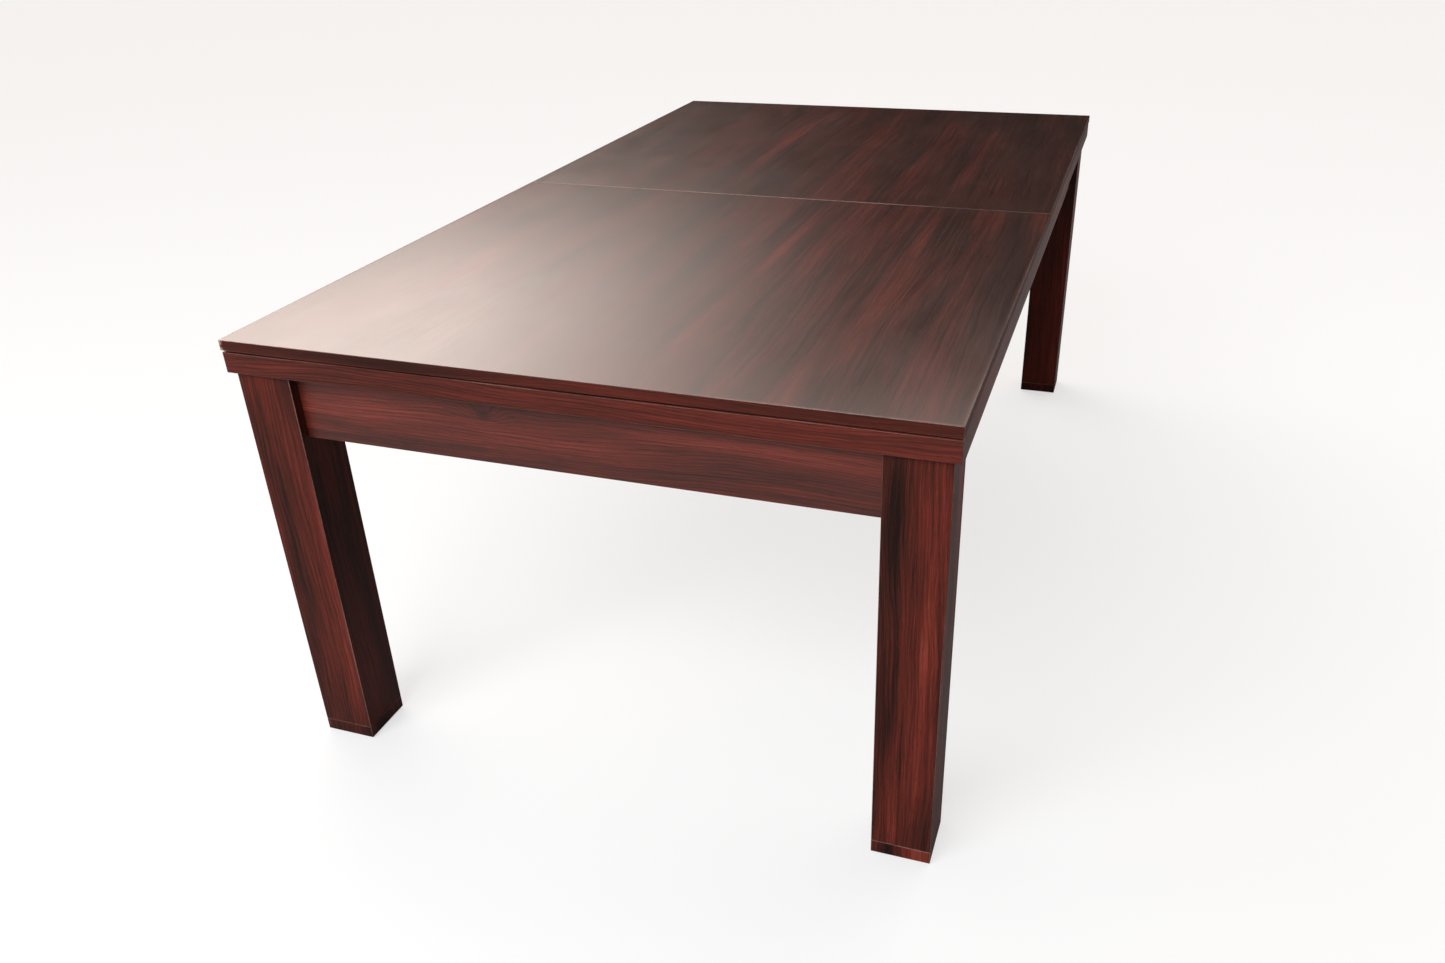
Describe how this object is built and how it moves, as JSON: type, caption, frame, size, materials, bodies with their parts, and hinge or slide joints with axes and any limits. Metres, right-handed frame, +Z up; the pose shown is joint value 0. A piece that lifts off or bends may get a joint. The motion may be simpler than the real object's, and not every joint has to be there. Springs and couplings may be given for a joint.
{
  "type": "pool table",
  "caption": "Rectangular dining table on square legs whose lift-off boards cover a cloth-covered pool bed with cushions, drop pockets and levelling feet.",
  "frame": {"origin": "on the floor, under the middle of the table's footprint", "axes": "+X across the table to its right side, +Y along its length to the far end, +Z up"},
  "size_m": [1.2, 2.1, 0.81],
  "materials": {
    "laminate": "semi-gloss dark rosewood-coloured laminate",
    "cloth": "napped green wool cloth",
    "cushion_rubber": "plain extruded rubber",
    "grip_rubber": "matt",
    "raw_board": "uncoated fibreboard",
    "pine": "planed softwood",
    "pocket_plastic": "moulded, lightly grained",
    "steel": "zinc plated"
  },
  "bodies": {
    "frame": {"rail_near_end": "laminate", "rail_far_end": "laminate", "rail_left_near": "laminate", "rail_left_far": "laminate", "rail_right_near": "laminate", "rail_right_far": "laminate", "cushion_near_end": "cloth", "cushion_far_end": "cloth", "cushion_left_near": "cloth", "cushion_left_far": "cloth", "cushion_right_near": "cloth", "cushion_right_far": "cloth", "cushion_rubbers_end": "cushion_rubber", "cushion_rubbers_side": "cushion_rubber", "rail_packers": "pine", "bed_cloth": "cloth", "bed_board": "raw_board", "pocket_near_left": "pocket_plastic", "pocket_near_right": "pocket_plastic", "pocket_far_left": "pocket_plastic", "pocket_far_right": "pocket_plastic", "pocket_left_side": "pocket_plastic", "pocket_right_side": "pocket_plastic", "apron_near_end": "laminate", "apron_far_end": "laminate", "apron_left": "laminate", "apron_right": "laminate", "ledger_strips": "pine", "cross_beams_inner": "pine", "cross_beams_outer": "pine", "spine_beam": "pine", "beam_brackets": "steel", "corner_brackets": "steel", "leg_bolts": "steel", "rail_bolts": "steel", "leg_near_left": "laminate", "leg_near_right": "laminate", "leg_far_left": "laminate", "leg_far_right": "laminate", "leg_top_blocks": "raw_board", "foot_block_near_left": "laminate", "foot_block_near_right": "laminate", "foot_block_far_left": "laminate", "foot_block_far_right": "laminate", "foot_inserts": "steel"},
    "near_board": {"dining_board_near": "laminate", "board_strips_near": "grip_rubber"},
    "far_board": {"dining_board_far": "laminate", "board_strips_far": "grip_rubber"},
    "near_left_washer": {"leveller_washer_near_left": "steel"},
    "near_left_leveller": {"leveller_near_left": "steel"},
    "near_right_washer": {"leveller_washer_near_right": "steel"},
    "near_right_leveller": {"leveller_near_right": "steel"},
    "far_left_washer": {"leveller_washer_far_left": "steel"},
    "far_left_leveller": {"leveller_far_left": "steel"},
    "far_right_washer": {"leveller_washer_far_right": "steel"},
    "far_right_leveller": {"leveller_far_right": "steel"}
  },
  "joints": [
    {"name": "near_board_lift", "type": "slide", "parent": "frame", "child": "near_board", "axis": [0, 0, 1], "range_m": [0, 0.4]},
    {"name": "far_board_lift", "type": "slide", "parent": "frame", "child": "far_board", "axis": [0, 0, 1], "range_m": [0, 0.4]},
    {"name": "near_left_leveller_travel", "type": "slide", "parent": "frame", "child": "near_left_washer", "axis": [0, 0, -1], "range_m": [0, 0.012]},
    {"name": "near_left_leveller_turn", "type": "hinge", "parent": "near_left_washer", "child": "near_left_leveller", "pos_m": [-0.539, -0.989, 0.02], "axis": [0, 0, -1], "range_deg": [0, 2880]},
    {"name": "near_right_leveller_travel", "type": "slide", "parent": "frame", "child": "near_right_washer", "axis": [0, 0, -1], "range_m": [0, 0.012]},
    {"name": "near_right_leveller_turn", "type": "hinge", "parent": "near_right_washer", "child": "near_right_leveller", "pos_m": [0.539, -0.989, 0.02], "axis": [0, 0, -1], "range_deg": [0, 2880]},
    {"name": "far_left_leveller_travel", "type": "slide", "parent": "frame", "child": "far_left_washer", "axis": [0, 0, -1], "range_m": [0, 0.012]},
    {"name": "far_left_leveller_turn", "type": "hinge", "parent": "far_left_washer", "child": "far_left_leveller", "pos_m": [-0.539, 0.989, 0.02], "axis": [0, 0, -1], "range_deg": [0, 2880]},
    {"name": "far_right_leveller_travel", "type": "slide", "parent": "frame", "child": "far_right_washer", "axis": [0, 0, -1], "range_m": [0, 0.012]},
    {"name": "far_right_leveller_turn", "type": "hinge", "parent": "far_right_washer", "child": "far_right_leveller", "pos_m": [0.539, 0.989, 0.02], "axis": [0, 0, -1], "range_deg": [0, 2880]}
  ],
  "couplings": [
    {"joint": "near_left_leveller_travel", "follows": "near_left_leveller_turn", "m_per_rad": 0.0002387},
    {"joint": "near_right_leveller_travel", "follows": "near_right_leveller_turn", "m_per_rad": 0.0002387},
    {"joint": "far_left_leveller_travel", "follows": "far_left_leveller_turn", "m_per_rad": 0.0002387},
    {"joint": "far_right_leveller_travel", "follows": "far_right_leveller_turn", "m_per_rad": 0.0002387}
  ]
}
